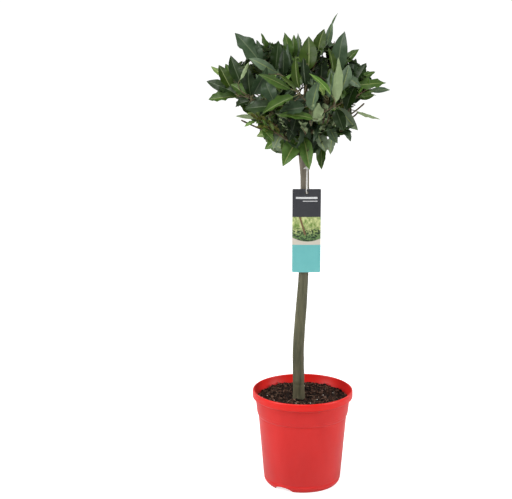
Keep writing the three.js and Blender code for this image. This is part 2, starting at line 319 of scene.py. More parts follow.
def scattered(seed, count):
    """Places on the soil clear of the stem and the pot's wall, each with its own random source."""
    rng = random.Random(seed)
    made = []
    while len(made) < count:
        reach = 94 * MM * math.sqrt(rng.random())
        turn = rng.uniform(0, 2 * math.pi)
        x, y = reach * math.cos(turn), reach * math.sin(turn)
        if math.hypot(x + 8 * MM, y) > 15 * MM:
            made.append((Vector((x, y, SOIL_LEVEL * MM + soil_height(x, y))), rng))
    return made


def lumps(name, seed, count, sizes, flat, finish, sink=0.25):
    """Loose lumps of that range of sizes, in millimetres, squashed by flat and joined in one piece."""
    bm = bmesh.new()
    for spot, rng in scattered(seed, count):
        size = rng.uniform(*sizes) * MM
        shape = Matrix.Diagonal((size, size * rng.uniform(0.6, 1), size * flat, 1))
        lie = Matrix.Rotation(rng.uniform(-0.4, 0.4), 4, "X")
        turn = Matrix.Rotation(rng.uniform(0, 2 * math.pi), 4, "Z")
        centre = Matrix.Translation(spot + UP * size * flat * (0.5 - sink))
        lump = bmesh.ops.create_icosphere(
            bm, subdivisions=1, radius=0.5, matrix=centre @ turn @ lie @ shape
        )
        for v in lump["verts"]:
            v.co += Vector([rng.uniform(-0.12, 0.12) * size for _ in range(3)])
    piece = place(name, bm, [finish], sharp=math.radians(25))


crumb_brown = mottled(
    "crumb_brown",
    dark=(0.0025, 0.0013, 0.0010),
    light=(0.084, 0.042, 0.028),
    roughness=0.95,
    per_metre=120,
    softness=0.07,
    specular=0.15,
)
bark_brown = mottled("bark_chip_brown", (0.05, 0.024, 0.014), (0.16, 0.085, 0.05), 0.85, 300)
grain_white = mottled("grain_white", (0.45, 0.42, 0.36), (0.8, 0.77, 0.7), 0.7, 500)
lumps("soil_crumbs", 3, 1500, (1.4, 4.4), 0.8, crumb_brown)
lumps("soil_clods", 4, 170, (4.5, 9), 0.7, crumb_brown)
lumps("bark_chips", 8, 34, (4, 9), 0.35, bark_brown, sink=0.1)
lumps("white_grains", 21, 16, (1.6, 2.8), 0.9, grain_white, sink=0.0)


def limb(path, radii, sides):
    """A mesh of one limb: a ring of edges pushed along a path, with a radius at each place on it."""
    bm = bmesh.new()
    turn = UP.rotation_difference((path[1] - path[0]).normalized())
    bmesh.ops.create_circle(
        bm,
        cap_ends=True,
        radius=radii[0],
        segments=sides,
        matrix=Matrix.Translation(path[0]) @ turn.to_matrix().to_4x4(),
    )
    rim = bm.edges[:]
    heading = (path[1] - path[0]).normalized()
    for i in range(1, len(path)):
        ahead = path[min(i + 1, len(path) - 1)] - path[i - 1]
        ahead.normalize()
        bend = heading.rotation_difference(ahead)
        heading = ahead
        pushed = bmesh.ops.extrude_edge_only(bm, edges=rim)["geom"]
        ring = {v for v in pushed if isinstance(v, bmesh.types.BMVert)}
        rim = [e for e in pushed if isinstance(e, bmesh.types.BMEdge) and set(e.verts) <= ring]
        swell = radii[i] / radii[i - 1]
        for v in ring:
            v.co = path[i] + (bend @ (v.co - path[i - 1])) * swell
    bmesh.ops.edgeloop_fill(bm, edges=rim)
    bmesh.ops.recalc_face_normals(bm, faces=bm.faces)
    return bm


def add(whole, part, index=0):
    """Adds a part's mesh to a joined one, with its faces in that material slot, and frees it."""
    mesh = bpy.data.meshes.new("part")
    for face in part.faces:
        face.material_index = index
    part.to_mesh(mesh)
    part.free()
    whole.from_mesh(mesh)
    bpy.data.meshes.remove(mesh)


bm = bmesh.new()
for spot, rng in scattered(13, 150):
    turn = rng.uniform(0, 2 * math.pi)
    along = Vector((math.cos(turn), math.sin(turn), rng.uniform(-0.1, 0.35)))
    length = rng.uniform(5, 20) * MM
    sag = Vector([rng.uniform(-0.2, 0.2) * length for _ in range(3)])
    path = [spot + along * length * t + sag * math.sin(math.pi * t) for t in (-0.5, -0.2, 0.1, 0.5)]
    width = rng.uniform(0.35, 0.8) * MM
    add(bm, limb([p + UP * width for p in path], [width * 0.6, width, width, width * 0.5], 5))
fibre = mottled("peat_fibre", (0.050, 0.026, 0.015), (0.24, 0.14, 0.085), 0.85, 60)
fibres = place("soil_fibres", bm, [fibre])

# ---- The stem ----
# One clear stem of living wood, grown straight but for a slight bend, with thin grey-green bark. The
# bark is finely furrowed along the stem, and healed over where side shoots were rubbed off.

STEM_LINE = [  # where the middle of the stem is, in millimetres
    (-8, 0, 176), (-8, 0, 200), (-9.5, -1, 290), (-4, -1, 380), (0.5, 0, 460), (2.5, 1, 560),
    (1.2, 1, 650), (-1.6, 0, 700), (0, 0, 748),
]  # fmt: skip


def smooth_path(points, steps):
    """Places along a smooth curve through points, with that many between each two."""
    points = [Vector(p) for p in points]
    made = []
    for i in range(len(points) - 1):
        before, after = points[max(i - 1, 0)], points[min(i + 2, len(points) - 1)]
        a, b = points[i], points[i + 1]
        made += geometry.interpolate_bezier(
            a, a + (b - before) / 6, b - (after - a) / 6, b, steps + 1
        )[:-1]
    return [*made, points[-1]]


STEM_FOOT, TAPER_FOOT, TAPER_RUN, FORK_FOOT, FORK_RUN = 176, 240, 390, 660, 50  # up the stem, mm


def stem_radius(z):
    """The stem's radius at a height, both in metres, with the root flare at its foot."""
    up = min(max((z / MM - TAPER_FOOT) / TAPER_RUN, 0), 1)
    slim = 12.1 - 3.1 * up * up * (3 - 2 * up)
    flare = 2.2 * math.exp(-((z / MM - STEM_FOOT) / 9))
    fork = min(max((z / MM - FORK_FOOT) / FORK_RUN, 0), 1)
    return (slim + flare + 1.7 * fork * fork) * MM


PRUNING_RING = 214  # the height in millimetres where the stem was once cut back
# Healed scars of side shoots: the height in millimetres, and the azimuth in degrees.
SCARS = [(222, 250), (268, 20), (336, 300), (402, 200), (455, 80), (520, 320), (596, 150), (655, 40)]
path = smooth_path([Vector(p) * MM for p in STEM_LINE], 34)
bm = limb(path, [stem_radius(p.z) for p in path], 48)
for v in bm.verts:
    near = min(path, key=lambda p: abs(p.z - v.co.z))
    out = Vector((v.co.x - near.x, v.co.y - near.y, 0))
    if out.length < 1e-5:
        continue
    out.normalize()
    furrow = noise.noise(Vector((v.co.x * 420, v.co.y * 420, v.co.z * 38)))
    wave = noise.noise(Vector((v.co.x * 45, v.co.y * 45, v.co.z * 26)))
    lift = 0.22 * furrow + 0.5 * wave
    for height, azimuth in SCARS:
        side = Vector((math.cos(math.radians(azimuth)), math.sin(math.radians(azimuth)), 0))
        away = (v.co.z / MM - height) ** 2 / 14 + max(0, 1 - out.dot(side)) * 22
        lift += 1.1 * math.exp(-away)
        lift -= 0.35 * math.exp(-((v.co.z / MM - height) ** 2) / 0.8)
    lift -= 0.7 * math.exp(-((v.co.z / MM - PRUNING_RING) ** 2) / 0.9)
    v.co += out * lift * MM
bark = mottled(
    "stem_bark",
    dark=(0.048, 0.050, 0.023),
    light=(0.124, 0.116, 0.062),
    roughness=0.68,
    per_metre=(130, 130, 16),
    detail=6,
    softness=0.17,
    relief=0.0007,
)
# The green of the young bark gives way to grey-brown towards the fork.
tree = bark.node_tree
_, _, z = axes_of(tree)
grey_brown = mottle_in(tree, (0.095, 0.078, 0.055), (0.21, 0.175, 0.135), (120, 120, 22), 5, 0.2)
paint_over(bark, edged(tree, z, 0.42, 0.70), grey_brown["Colour"])
stem = place("stem_bark", bm, [bark], sharp=math.pi)
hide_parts("trunk")

# ---- The boughs ----
# Short limbs that leave the top of the stem one above another and carry the head. Their bark is
# like the stem's but younger, and each thins steadily to where it breaks into twigs.

LEAVES_STEM_AT = {  # the height in millimetres at which each bough leaves the stem
    "low_front": 694, "low_left": 692, "low_right": 698, "low_back": 700, "left": 716,
    "front_left": 724, "front_right": 716, "right": 722, "back_right": 716, "back_left": 724,
    "top_left": 740, "top_front": 743, "top_right": 741, "top_back": 744,
}  # fmt: skip


def bend_path(a, b, c, steps):
    """Places on the curve from a to c that is drawn towards b."""
    return [a.lerp(b, t / steps).lerp(b.lerp(c, t / steps), t / steps) for t in range(steps + 1)]


def tapered(start, end, steps):
    """Radii that thin evenly from start to end, in metres."""
    return [(start + (end - start) * i / steps) * MM for i in range(steps + 1)]


hearts = {}
bough_paths = {}
bm = bmesh.new()
for name, height in LEAVES_STEM_AT.items():
    low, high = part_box(f"foliage_{name}")
    hearts[name] = (Vector(low) + Vector(high)) / 2
    root = Vector((0, 0, height * MM))
    tip = root.lerp(hearts[name], 0.86)
    bend = root.lerp(tip, 0.5) + UP * 0.16 * math.hypot(tip.x, tip.y)
    bough_paths[name] = bend_path(root, bend, tip, 22)
    part = limb(bough_paths[name], tapered(4.7, 2.0, 22), 14)
    for v in part.verts:
        v.co += v.co.normalized() * 0.35 * MM * noise.noise(v.co * 210)
    add(bm, part)
young_bark = mottled(
    "bough_bark",
    dark=(0.055, 0.042, 0.022),
    light=(0.15, 0.115, 0.062),
    roughness=0.6,
    per_metre=(110, 110, 60),
    detail=5,
    relief=0.0004,
)
boughs = place("bough_bark", bm, [young_bark], sharp=math.pi)
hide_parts(*[f"bough_{name}" for name in LEAVES_STEM_AT])

# ---- The leaf shapes ----
# Evergreen bay leaves: leathery, pointed at both ends, waved along the edge and folded a little on a
# pale midrib. The upper side is glossy dark green, greyer on some leaves, and the underside is pale.

LEAF_ROWS = 10
LEAF_COLUMNS = (-1, -0.56, -0.07, 0.07, 0.56, 1)  # shares of half the width, with the midrib between
BLADE, UNDERSIDE, MIDRIB = 0, 1, 2


def leaf_shape(width, seed, limp=1.0):
    """A leaf from the origin to (0, 1, 0), made of two skins that meet at its edge. Its width is a
    share of its length, and its fold, arch, waves and twist are drawn from its seed."""
    rng = random.Random(seed)
    fold, arch = rng.uniform(0.15, 0.75), rng.uniform(-0.02, 0.11) * limp
    sway, twist = rng.uniform(-0.05, 0.05), rng.uniform(-0.7, 0.7) * limp
    wave, phase, beats = rng.uniform(0.14, 0.36), rng.uniform(0, 6.3), rng.uniform(2.6, 4.2)
    bm = bmesh.new()
    for skin in (1, -1):
        grid = bmesh.ops.create_grid(bm, x_segments=5, y_segments=LEAF_ROWS, size=0.5)
        for face in {f for v in grid["verts"] for f in v.link_faces}:
            on_rib = abs(face.calc_center_median().x) < 0.05
            face.material_index = UNDERSIDE if skin < 0 else MIDRIB if on_rib else BLADE
        for v in grid["verts"]:
            u = LEAF_COLUMNS[round((v.co.x + 0.5) * 5)]
            t = min(max(v.co.y + 0.5, 0), 1)
            half = width / 2 * t**0.7 * (1 - t) ** 1.02 / 0.313
            lift = fold * abs(u) * half + arch * 4 * t * (1 - t)
            lift += wave * u * u * half * math.sin(phase + beats * math.tau * t + 2 * u)
            lift += skin * 0.0045 * (1 - abs(u)) * min(1, 6 * t, 6 * (1 - t))
            turn = Matrix.Rotation(twist * (t - 0.5), 3, "Y")
            v.co = turn @ Vector((u * half, 0, lift)) + Vector((sway * 4 * t * (1 - t), t, 0))
    bmesh.ops.remove_doubles(bm, verts=bm.verts, dist=1e-5)
    bmesh.ops.recalc_face_normals(bm, faces=bm.faces)
    mesh = bpy.data.meshes.new("leaf_shape")
    bm.to_mesh(mesh)
    bm.free()
    return mesh


shape_rng = random.Random(77)
leaf_shapes = [leaf_shape(shape_rng.uniform(0.36, 0.46), seed) for seed in range(18)]

LEAF_TINTS = {  # upper sides, darker and lighter
    "blue_green": ((0.016, 0.036, 0.014), (0.043, 0.075, 0.034)),
    "deep_green": ((0.006, 0.019, 0.002), (0.018, 0.041, 0.006)),
    "mid_green": ((0.027, 0.063, 0.007), (0.060, 0.114, 0.019)),
    "olive_green": ((0.018, 0.041, 0.002), (0.038, 0.070, 0.005)),
    "bright_green": ((0.100, 0.165, 0.032), (0.165, 0.245, 0.060)),
    "grey_green": ((0.050, 0.084, 0.043), (0.100, 0.150, 0.082)),
    # painted shade: a darker copy of the blue green, for leaves that sit in shadow
    "shade_green": ((0.004, 0.014, 0.002), (0.013, 0.029, 0.006)),
    # painted light: the mid green at about twice its brightness, for leaves lit from the front
    "fresh_green": ((0.060, 0.140, 0.020), (0.125, 0.230, 0.044)),
    # painted light: the grey green at about twice its brightness, for leaves lit from the front
    "bloom_green": ((0.130, 0.180, 0.105), (0.215, 0.275, 0.170)),
    "young_olive": ((0.120, 0.135, 0.020), (0.260, 0.250, 0.060)),
}
leaf_finishes = []
for tint, (dark, light) in LEAF_TINTS.items():
    made = mottled(
        f"leaf_{tint}",
        dark=dark,
        light=light,
        roughness=0.40,
        per_metre=70,
        detail=3,
        softness=0.3,
        relief=0.0003,
        specular=0.22,
    )
    leaf_finishes.append(made)
for name, dark, light, roughness, per_metre in (
    ("leaf_underside", (0.150, 0.205, 0.090), (0.230, 0.300, 0.145), 0.6, 90),
    ("leaf_midrib_dark", (0.040, 0.068, 0.024), (0.066, 0.098, 0.038), 0.5, 60),
    ("leaf_midrib_pale", (0.105, 0.150, 0.032), (0.165, 0.205, 0.055), 0.5, 60),
    ("leaf_midrib_bright", (0.260, 0.330, 0.090), (0.360, 0.420, 0.140), 0.5, 60),
):
    leaf_finishes.append(mottled(name, dark, light, roughness, per_metre, softness=0.3))
# The leaves' material slots, in the order of the finishes.
BLUE, DEEP, MID, OLIVE, BRIGHT, GREY, SHADE, LIT_MID, LIT_GREY, YOUNG = range(len(LEAF_TINTS))
UNDERSIDE_SLOT, DARK_RIB_SLOT, PALE_RIB_SLOT, BRIGHT_RIB_SLOT = range(len(LEAF_TINTS), len(leaf_finishes))

stalk_path = bend_path(Vector((0, 0, 0)), Vector((0, 0.5, -0.12)), Vector((0, 1, 0)), 3)
stalk_mesh = bpy.data.meshes.new("stalk_shape")
part = limb(stalk_path, [0.13, 0.11, 0.10, 0.12], 5)
part.to_mesh(stalk_mesh)
part.free()


def facing(foot, along, top, size):
    """The matrix that lays +Y along a direction and turns +Z as near to top as that lets it."""
    side = along.cross(top).normalized()
    top = side.cross(along)
    turn = Matrix((side, along, top)).transposed().to_4x4()
    return Matrix.Translation(foot) @ turn @ Matrix.Scale(size, 4)


def stamp(whole, mesh, matrix, slots=None):
    """Adds a copy of a mesh to a joined one, moved by matrix, with its material slots changed."""
    copy = mesh.copy()
    copy.transform(matrix)
    if slots:
        for face in copy.polygons:
            face.material_index = slots[face.material_index]
    whole.from_mesh(copy)
    bpy.data.meshes.remove(copy)


def leaf_slots(tint):
    """The material slots of a leaf of that tint."""
    rib = PALE_RIB_SLOT if tint in (OLIVE, MID, GREY) else DARK_RIB_SLOT
    if tint in (BRIGHT, LIT_MID, YOUNG, LIT_GREY):
        rib = BRIGHT_RIB_SLOT
    return {BLADE: tint, UNDERSIDE: UNDERSIDE_SLOT, MIDRIB: rib}


TIERS = ("low", "middle", "top")


def tier_of(name):
    """The tier of the head that a mass is in."""
    return name.split("_")[0] if name.split("_")[0] in ("low", "top") else "middle"


leaf_meshes = {tier: bmesh.new() for tier in TIERS}
stalks = bmesh.new()
buds = bmesh.new()
twigs = bmesh.new()
young = bmesh.new()
STALK = 8 * MM

# ---- The leading shoots ----
# The leaves that give the head its outline and its face: a bay puts its largest leaves outermost, up
# on top, out at the sides and hanging under the fork. Each has its own twig from the nearest wood.

LEADING_LEAVES = [  # foot and tip, width and turn about its length, and tint: millimetres, degrees
    # over the top, from the left
    ((-88, -50, 889), (-140, -20, 947), 40, 15, BLUE),
    ((-78, -30, 885), (-97, -25, 934), 26, 30, BLUE),
    ((-80, -20, 896), (-88, -10, 946), 18, 50, MID),
    ((-54, -30, 890), (-71, -20, 931), 18, -40, DEEP),
    ((-60, -50, 878), (-54, -40, 934), 27, 15, DEEP),
    ((-46, -80, 866), (-44, -70, 923), 21, 0, SHADE),
    ((-32, -40, 898), (-42, -30, 949), 22, 25, MID),
    ((-26, -70, 876), (-36, -60, 930), 18, -35, BLUE),
    ((-22, -30, 898), (-23, -20, 944), 16, 30, MID),
    ((-11, -20, 892), (-15, -10, 947), 18, -30, GREY),
    ((4, -85, 880), (5, -60, 944), 34, 0, OLIVE),
    ((25, -35, 902), (37, -20, 955), 25, 10, OLIVE),
    ((37, -15, 914), (54, -5, 968), 15, 25, GREY),
    ((50, -6, 954), (65, 0, 985), 4, 20, GREY),
    ((18, -50, 885), (47, -30, 935), 22, -35, GREY),
    ((63, -60, 872), (77, -30, 951), 31, 5, BLUE),
    ((53, -65, 874), (43, -50, 921), 15, 40, OLIVE),
    ((74, -20, 884), (108, 0, 913), 17, 20, MID),
    ((84, -30, 857), (101, -10, 896), 20, 0, BLUE),
    ((-14, -130, 848), (-21, -110, 911), 18, -25, OLIVE),
    ((-2, -100, 850), (-6, -85, 905), 22, 35, SHADE),
    ((30, -60, 850), (34, -40, 905), 26, 20, SHADE),
    # out to the left
    ((-126, -50, 847), (-148, -30, 904), 27, -10, DEEP),
    ((-147, -40, 838), (-172, -20, 884), 25, 15, OLIVE),
    ((-157, -20, 861), (-188, 0, 879), 13, 25, BRIGHT),
    ((-145, -10, 854), (-159, 0, 884), 17, -20, MID),
    ((-146, -30, 832), (-197, -10, 850), 23, -15, DEEP),
    ((-138, -50, 829), (-173, -30, 842), 20, 20, DEEP),
    ((-136, -40, 823), (-193, -20, 815), 27, 5, MID),
    ((-114, -90, 832), (-147, -70, 851), 24, 20, MID),
    ((-129, -100, 863), (-111, -110, 899), 9, 150, GREY),
    ((-110, -80, 819), (-139, -60, 804), 20, 0, DEEP),
    ((-100, -70, 784), (-139, -60, 787), 9, 150, GREY),
    # the face, from the left
    ((-103, -120, 837), (-77, -135, 893), 29, 25, BLUE),
    ((-57, -130, 880), (-112, -110, 906), 20, -20, GREY),
    ((-108, -100, 832), (-112, -85, 884), 26, 10, SHADE),
    ((-80, -130, 866), (-60, -145, 820), 29, 0, BLUE),
    ((-32, -160, 853), (-94, -150, 880), 17, -45, MID),
    ((-22, -150, 848), (-53, -150, 878), 12, 35, OLIVE),
    ((-56, -140, 818), (-120, -110, 809), 29, 20, DEEP),
    ((-26, -160, 838), (-86, -165, 806), 23, 12, MID),
    ((-5, -150, 817), (-54, -150, 807), 28, 15, BLUE),
    ((12, -155, 795), (-58, -165, 802), 20, 5, MID),
    ((9, -150, 810), (23, -140, 867), 27, -5, GREY),
    ((45, -150, 840), (3, -145, 881), 11, 15, LIT_MID),
    ((42, -125, 832), (47, -110, 884), 19, 30, GREY),
    ((54, -150, 825), (59, -130, 910), 21, 172, GREY),
    ((11, -148, 790), (22, -165, 827), 32, 172, GREY),
    ((67, -110, 842), (82, -90, 892), 25, 0, GREY),
    ((74, -95, 869), (106, -80, 846), 18, 10, GREY),
    ((94, -90, 848), (77, -105, 805), 31, 0, DEEP),
    ((57, -110, 808), (73, -120, 765), 25, -10, DEEP),
    ((64, -90, 808), (102, -90, 763), 24, 10, LIT_GREY),
    # out to the right
    ((99, -40, 853), (121, -20, 888), 21, -10, DEEP),
    ((107, -20, 857), (141, 0, 868), 15, 10, MID),
    ((101, -40, 846), (162, -20, 848), 24, -5, MID),
    ((129, -20, 833), (171, -5, 832), 12, 35, GREY),
    ((105, -30, 820), (139, -20, 824), 15, 10, MID),
    ((101, -40, 794), (151, -30, 776), 13, 150, GREY),
    # under the head, from the left; most take the brightened greens, painted light where the head above
    # shades them
    ((-70, -80, 761), (-97, -70, 748), 15, 0, BRIGHT),
    ((-86, -85, 766), (-62, -80, 739), 16, 10, LIT_MID),
    ((-50, -60, 745), (-81, -60, 721), 20, 0, LIT_MID),
    ((-46, -70, 757), (-64, -80, 724), 22, 15, LIT_GREY),
    ((-37, -50, 742), (-46, -50, 714), 10, 0, LIT_MID),
    ((-12, -42, 744), (-45, -64, 687), 34, 0, LIT_MID),
    ((-3, -42, 742), (8, -70, 681), 28, 0, LIT_MID),
    ((24, -50, 750), (41, -60, 715), 24, 0, LIT_GREY),
    ((20, -45, 748), (25, -52, 706), 20, 15, GREY),
    ((31, -38, 728), (33, -50, 678), 20, 0, MID),
    ((53, -50, 752), (50, -50, 708), 16, -30, LIT_GREY),
    ((75, -50, 768), (91, -40, 733), 13, 30, GREY),
    ((32, -70, 758), (77, -70, 752), 26, 0, MID),
    ((0, -80, 790), (8, -90, 746), 28, 35, BLUE),
    ((-20, -90, 790), (-35, -95, 742), 26, -30, SHADE),
    ((30, -95, 778), (14, -105, 742), 17, 50, BLUE),
    ((-48, -100, 790), (-24, -105, 756), 17, 20, SHADE),
    ((45, -85, 772), (62, -95, 738), 20, 15, GREY),
    ((-10, -95, 770), (-22, -98, 728), 14, -45, BLUE),
]  # fmt: skip
STUBS = [  # cut ends of old shoots: where each starts and ends
    ((-62, -60, 752), (-127, -60, 779)),
    ((84, -45, 785), (116, -50, 811)),
    ((92, -42, 782), (104, -42, 792)),
]
CROWN_MIDDLE = Vector((0, 0, 0.825))
FACE = Vector((-0.10, -0.86, 0.50)).normalized()  # the way that the front's leaves face
LOW_LEAVES, TOP_LEAVES = 0.775, 0.868  # where the low tier's leaves end and the top one's start
GOLDEN_TURN = math.radians(137.5)
SIGHT = 0.12  # how much lower a thing looks for each unit that it stands nearer


def seen(place):
    """Where a place looks to be from the front: across, and up."""
    return Vector((place.x, place.z + SIGHT * (place.y + 60 * MM)))


wood = []  # places that a twig can start from
for path in bough_paths.values():
    wood += path[8:]


def grow_twig(end, aim, root, tip, sag=0.0):
    """A twig to an end from the nearest wood behind it, arriving along aim."""
    inner = [p for p in wood if (p - CROWN_MIDDLE).length < (end - CROWN_MIDDLE).length - 4 * MM]
    start = min(inner or wood, key=lambda p: (p - end).length)
    reach = (end - start).length
    if reach < 3 * MM:
        return
    bend = end - aim * reach * 0.45 - UP * sag
    path = bend_path(start, bend, end, 8)
    add(twigs if root > 1.2 else young, limb(path, tapered(root, tip, 8), 7))
    wood.extend(path[3:])


# How far the seeded leaves keep off a leading one: shares of its length, each with one of its width.
CLEAR_ROUND = ((0.1, 0.30), (0.35, 0.42), (0.6, 0.30), (0.85, 0.30))
rng = random.Random(19)
leading = []  # what the seeded leaves keep clear of: how a leaf looks from the front, and its depth
for i, (foot, tip, width, turn, tint) in enumerate(LEADING_LEAVES):
    foot, tip = Vector(foot) * MM, Vector(tip) * MM
    along = (tip - foot).normalized()
    length = (tip - foot).length
    turn += rng.uniform(-16, 16)
    top = Quaternion(along, math.radians(turn)) @ (FACE - along * FACE.dot(along)).normalized()
    node = foot - along * STALK
    away = (node - CROWN_MIDDLE).normalized()
    grow_twig(node, (along + away * 0.6).normalized(), 1.3, 0.9, sag=0.004)
    stamp(stalks, stalk_mesh, facing(node, along, top, STALK))
    shape = leaf_shape(width * MM / length, 200 + i, limp=0.8)
    tier = "low" if foot.z < LOW_LEAVES else "top" if foot.z > TOP_LEAVES else "middle"
    stamp(leaf_meshes[tier], shape, facing(foot, along, top, length), leaf_slots(tint))
    bpy.data.meshes.remove(shape)
    for share, clear in CLEAR_ROUND:
        place_on = foot.lerp(tip, share)
        leading.append((seen(place_on), place_on.y, width * MM * clear))

# The light shoots' tints include the brightened mid green, painted light, and the dark shoots' the shade
# green, painted shade.
LIGHT_SHOOT = (YOUNG, YOUNG, BRIGHT, LIT_MID, MID)
DARK_SHOOT = (BLUE, SHADE, DEEP, GREY, MID)
YOUNG_TWIGS = [  # young shoots that show between the leaves: start, middle and end, and their tints
    ((-34, -82, 742), (-66, -104, 762), (-98, -100, 795), LIGHT_SHOOT),
    ((-48, -95, 752), (-62, -106, 764), (-78, -108, 772), LIGHT_SHOOT),
    ((-60, -95, 775), (-78, -104, 780), (-96, -106, 784), LIGHT_SHOOT),
    ((-26, -62, 750), (-34, -100, 756), (-46, -112, 778), DARK_SHOOT),
    ((0, -62, 748), (2, -100, 754), (-10, -112, 776), DARK_SHOOT),
    ((20, -60, 748), (26, -98, 754), (36, -110, 770), DARK_SHOOT),
    ((40, -58, 754), (56, -90, 756), (74, -92, 764), DARK_SHOOT),
    ((40, -90, 776), (46, -110, 800), (52, -140, 826), DARK_SHOOT),
    ((30, -95, 770), (36, -115, 790), (34, -135, 812), DARK_SHOOT),
    ((60, -70, 790), (80, -60, 800), (90, -55, 815), LIGHT_SHOOT),
    ((98, -40, 822), (112, -35, 832), (128, -25, 838), LIGHT_SHOOT),
]
for start, middle, end, tints in YOUNG_TWIGS:
    start, middle, end = (Vector(place_on) * MM for place_on in (start, middle, end))
    grow_twig(start, (middle - start).normalized(), 2.0, 1.6)
    path = bend_path(start, middle, end, 8)
    add(young, limb(path, tapered(1.6, 1.0, 8), 7))
    wood.extend(path[2:])
    for i in range(9 if end.z < 0.80 else 6):  # the lower twigs carry more leaves
        node = path[min(i + 1, 8)]
        around = Quaternion((end - start).normalized(), i * GOLDEN_TURN) @ FACE
        along = ((end - start).normalized() * 0.8 + around).normalized()
        length = rng.uniform(12, 24) * (1.0 if tints is LIGHT_SHOOT else 1.5) * MM
        tint = rng.choice(tints)
        matrix = facing(node + along * STALK * 0.5, along, FACE + UP * 0.3, length)
        stamp(stalks, stalk_mesh, facing(node, along, FACE + UP * 0.3, STALK * 0.5))
        tier = "low" if node.z < LOW_LEAVES else "middle"
        stamp(leaf_meshes[tier], rng.choice(leaf_shapes), matrix, leaf_slots(tint))
        middle_of = node + along * length * 0.6
        leading.append((seen(middle_of), middle_of.y, 4 * MM))
for start, end in STUBS:
    start, end = Vector(start) * MM, Vector(end) * MM
    grow_twig(start, (end - start).normalized(), 2.0, 1.7)
    path = bend_path(start, start.lerp(end, 0.5) - UP * 3 * MM, end, 8)
    add(twigs, limb(path, [1.7 * MM] * 6 + [1.6 * MM, 1.9 * MM, 1.5 * MM], 8))

# ---- The shoots ----
# Twigs that grow on from the boughs by one rule: each fork sends shoots out and up towards its part
# of the head, green-brown below and reddish at the growing tips, with buds beside the leaf stalks.

outline = {}
for name in LEAVES_STEM_AT:
    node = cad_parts[f"foliage_{name}"]
    outline[name] = BVHTree.FromPolygons(
        [node.matrix_world @ v.co for v in node.data.vertices],
        [tuple(p.vertices) for p in node.data.polygons],
    )


def reach_of(tree, middle, direction):
    """How far a mass reaches from a place inside it, along a direction."""
    hit = tree.ray_cast(middle, direction)
    return hit[3] or 0.0


LEAST_REACH, OUTSIDE = 0.105, 0.3  # of the head from its middle, and a distance well outside it


def crown_reach(direction):
    """How far the head reaches from its middle, along a direction."""
    far = CROWN_MIDDLE + direction * OUTSIDE
    hits = [tree.ray_cast(far, -direction)[3] for tree in outline.values()]
    return max([OUTSIDE - distance for distance in hits if distance is not None] + [LEAST_REACH])


def spiral(count, i):
    """The i-th of count directions spread evenly over a ball."""
    up = 1 - 2 * (i + 0.5) / count
    turn = i * GOLDEN_TURN
    flat = math.sqrt(1 - up * up)
    return Vector((math.cos(turn) * flat, math.sin(turn) * flat, up))


GAPS = [  # where light shows through the head from the front: across, up and how wide, millimetres
    (-97, 828, 9), (-88, 838, 2), (-8, 838, 7), (34, 861, 0), (36, 904, 2), (42, 812, 2),
    (47, 771, 0), (16, 746, 1), (66, 806, 1), (-62, 760, 0), (-82, 798, 0), (62, 770, 0),
]  # fmt: skip


# The head's outline from the front is a dome on two slopes, and the fork shows below it. Metres.
LOWEST_TIP = 0.702
DOME_LEFT, DOME_FOOT, DOME_HALF, DOME_RISE = 0.015, 0.825, 0.160, 0.100
SLOPES_FOOT = 0.70
RIGHT_START, RIGHT_SPREAD, LEFT_START, LEFT_SPREAD = 0.034, 0.62, 0.050, 0.74
FORK_TOP, FORK_HALF = 0.712, 0.035


def in_the_way(foot, end):
    """Whether a leaf would hide a leading leaf from the front, close a gap or change the outline."""
    tip = seen(end)
    if tip.y < LOWEST_TIP and end.y < 0:
        return True
    if tip.y > DOME_FOOT:
        if ((tip.x + DOME_LEFT) / DOME_HALF) ** 2 + ((tip.y - DOME_FOOT) / DOME_RISE) ** 2 > 1:
            return True
    elif tip.x > RIGHT_START + (tip.y - SLOPES_FOOT) * RIGHT_SPREAD:
        return True
    elif -tip.x > LEFT_START + (tip.y - SLOPES_FOOT) * LEFT_SPREAD:
        return True
    for share in (0.1, 0.3, 0.5, 0.7, 0.9):
        spot = foot.lerp(end, share)
        flat = seen(spot)
        if flat.y < FORK_TOP and abs(flat.x) < FORK_HALF:
            return True
        for other, depth, near in leading:
            if spot.y < depth - 2 * MM and (flat - other).length < near + 4 * MM:
                return True
        for x, z, width in GAPS:
            if (flat - Vector((x, z)) * MM).length < width * MM + 0.15 * (end - foot).length:
                return True
    return False


SHOOT_SPACING = {"low": 0.0145, "middle": 0.0125, "top": 0.0125}  # metres of a mass for each shoot
rng = random.Random(41)
shoots = []
for name, heart in hearts.items():
    low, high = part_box(f"foliage_{name}")
    size = (Vector(high) - Vector(low)).length
    count = round(size / SHOOT_SPACING[tier_of(name)])
    out = Vector((heart.x, heart.y, 0.35 * (heart.z - 0.80) + 0.02)).normalized()
    bough = bough_paths[name]
    for i in range(count):
        way = spiral(count, i)
        way += out * 0.55 + UP * 0.3 + Vector([rng.uniform(-0.25, 0.25) for _ in range(3)])
        way.normalize()
        share = 0.50 if tier_of(name) == "low" else 0.60
        if i % 3 == 2:
            share *= 0.55
        end = heart + way * reach_of(outline[name], heart, way) * rng.uniform(share - 0.14, share)
        foot = bough[rng.randrange(13, 23)]
        side = (end - foot).normalized()
        along = (bough[-1] - bough[-4]).normalized()
        bend = foot + (along + side * 1.2 - UP * 0.15) * (end - foot).length * 0.28
        shoots.append((bend_path(foot, bend, end, 10), name))
    if name in ("low_left", "low_right", "low_back"):  # under-shoots, which close the head from below
        for i in range(5):
            foot = bough[5 + 3 * i]
            way = out + Vector([rng.uniform(-0.8, 0.8) for _ in range(3)])
            end = foot + (way.normalized() - UP * 0.35) * rng.uniform(0.030, 0.045)
            if not in_the_way(foot, end):
                shoots.append((bend_path(foot, foot.lerp(end, 0.5) + out * 0.006, end, 10), name))
